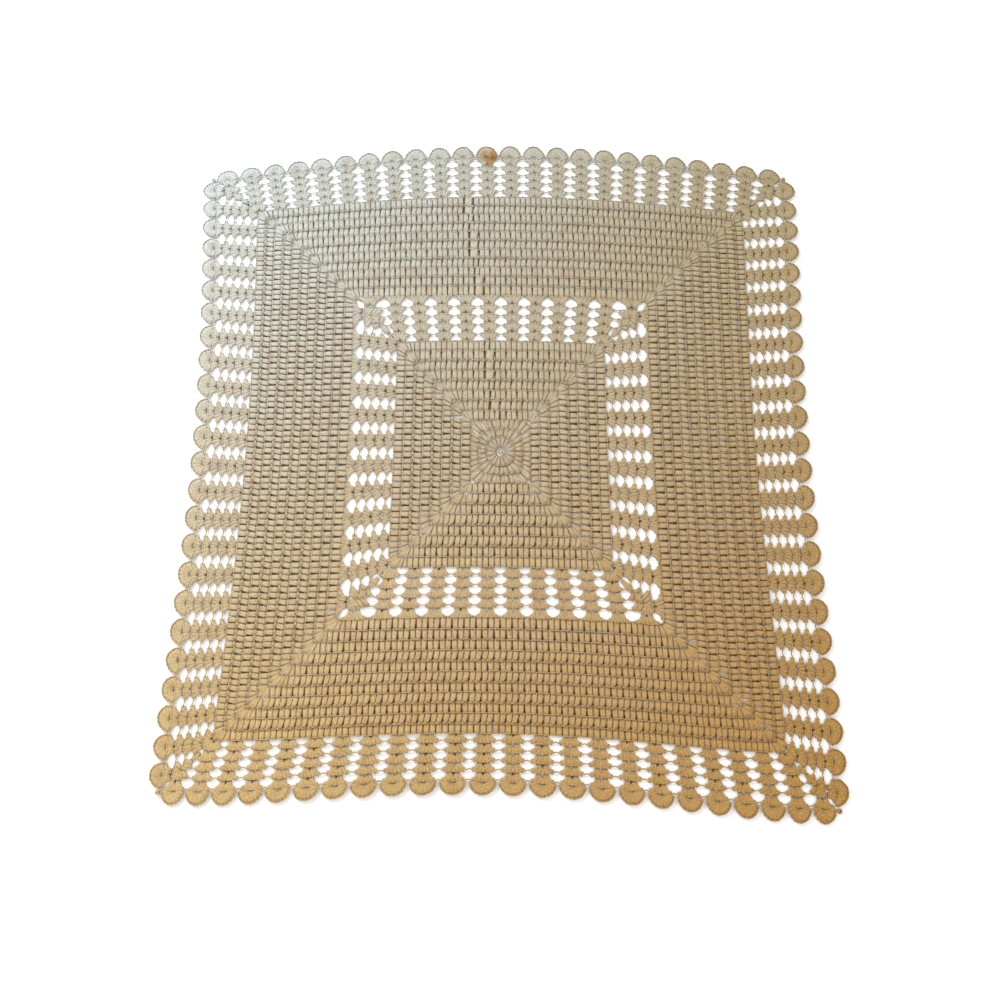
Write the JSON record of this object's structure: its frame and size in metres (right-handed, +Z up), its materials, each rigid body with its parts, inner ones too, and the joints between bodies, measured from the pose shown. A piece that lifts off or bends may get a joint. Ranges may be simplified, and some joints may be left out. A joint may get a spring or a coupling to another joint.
{
  "type": "crocheted throw blanket",
  "caption": "Square crocheted throw laid flat, with plain and openwork bands worked outward from the centre and a scalloped edging; folds over itself along creases.",
  "frame": {"origin": "centre of the underside of the throw, on the surface that it lies on", "axes": "+Z up out of the cloth, +Y towards the side with the fastening knot, +X along that side to the right"},
  "size_m": [0.864, 0.864, 0.0105],
  "materials": {
    "yarn": "matt, soft spun yarn, grey-cream to golden tan"
  },
  "bodies": {
    "left_outer": {"corner_picot_far_left": "yarn", "corner_picot_near_left": "yarn", "main_band_middle_rounds_left_outer": "yarn", "main_band_outer_rounds_left_outer": "yarn", "outer_lace_round_1_left_outer": "yarn", "outer_lace_round_2_left_outer": "yarn", "outer_lace_round_3_left_outer": "yarn", "outer_lace_round_4_left_outer": "yarn", "outer_lace_round_5_left_outer": "yarn", "scallop_edging_left_outer": "yarn"},
    "left_inner": {"centre_rosette_left_inner": "yarn", "centre_square_inner_rounds_left_inner": "yarn", "centre_square_outer_rounds_left_inner": "yarn", "fastening_knot": "yarn", "inner_lace_round_1_left_inner": "yarn", "inner_lace_round_2_left_inner": "yarn", "inner_lace_round_3_left_inner": "yarn", "inner_lace_round_4_left_inner": "yarn", "inner_lace_round_5_left_inner": "yarn", "main_band_inner_rounds_left_inner": "yarn", "main_band_middle_rounds_left_inner": "yarn", "main_band_outer_rounds_left_inner": "yarn", "outer_lace_round_1_left_inner": "yarn", "outer_lace_round_2_left_inner": "yarn", "outer_lace_round_3_left_inner": "yarn", "outer_lace_round_4_left_inner": "yarn", "outer_lace_round_5_left_inner": "yarn", "scallop_edging_left_inner": "yarn"},
    "right_inner": {"centre_rosette_right_inner": "yarn", "centre_square_inner_rounds_right_inner": "yarn", "centre_square_outer_rounds_right_inner": "yarn", "inner_lace_round_1_right_inner": "yarn", "inner_lace_round_2_right_inner": "yarn", "inner_lace_round_3_right_inner": "yarn", "inner_lace_round_4_right_inner": "yarn", "inner_lace_round_5_right_inner": "yarn", "main_band_inner_rounds_right_inner": "yarn", "main_band_middle_rounds_right_inner": "yarn", "main_band_outer_rounds_right_inner": "yarn", "outer_lace_round_1_right_inner": "yarn", "outer_lace_round_2_right_inner": "yarn", "outer_lace_round_3_right_inner": "yarn", "outer_lace_round_4_right_inner": "yarn", "outer_lace_round_5_right_inner": "yarn", "scallop_edging_right_inner": "yarn"},
    "right_outer": {"corner_picot_far_right": "yarn", "corner_picot_near_right": "yarn", "main_band_middle_rounds_right_outer": "yarn", "main_band_outer_rounds_right_outer": "yarn", "outer_lace_round_1_right_outer": "yarn", "outer_lace_round_2_right_outer": "yarn", "outer_lace_round_3_right_outer": "yarn", "outer_lace_round_4_right_outer": "yarn", "outer_lace_round_5_right_outer": "yarn", "scallop_edging_right_outer": "yarn"}
  },
  "joints": [
    {"name": "left_side_fold", "type": "hinge", "parent": "left_inner", "child": "left_outer", "pos_m": [-0.2315, 0, 0.0065], "axis": [0, 1, 0], "range_deg": [0, 180]},
    {"name": "middle_fold", "type": "hinge", "parent": "left_inner", "child": "right_inner", "pos_m": [0, 0, 0.0135], "axis": [0, -1, 0], "range_deg": [0, 180]},
    {"name": "right_side_fold", "type": "hinge", "parent": "right_inner", "child": "right_outer", "pos_m": [0.2315, 0, 0.0065], "axis": [0, -1, 0], "range_deg": [0, 180]}
  ]
}
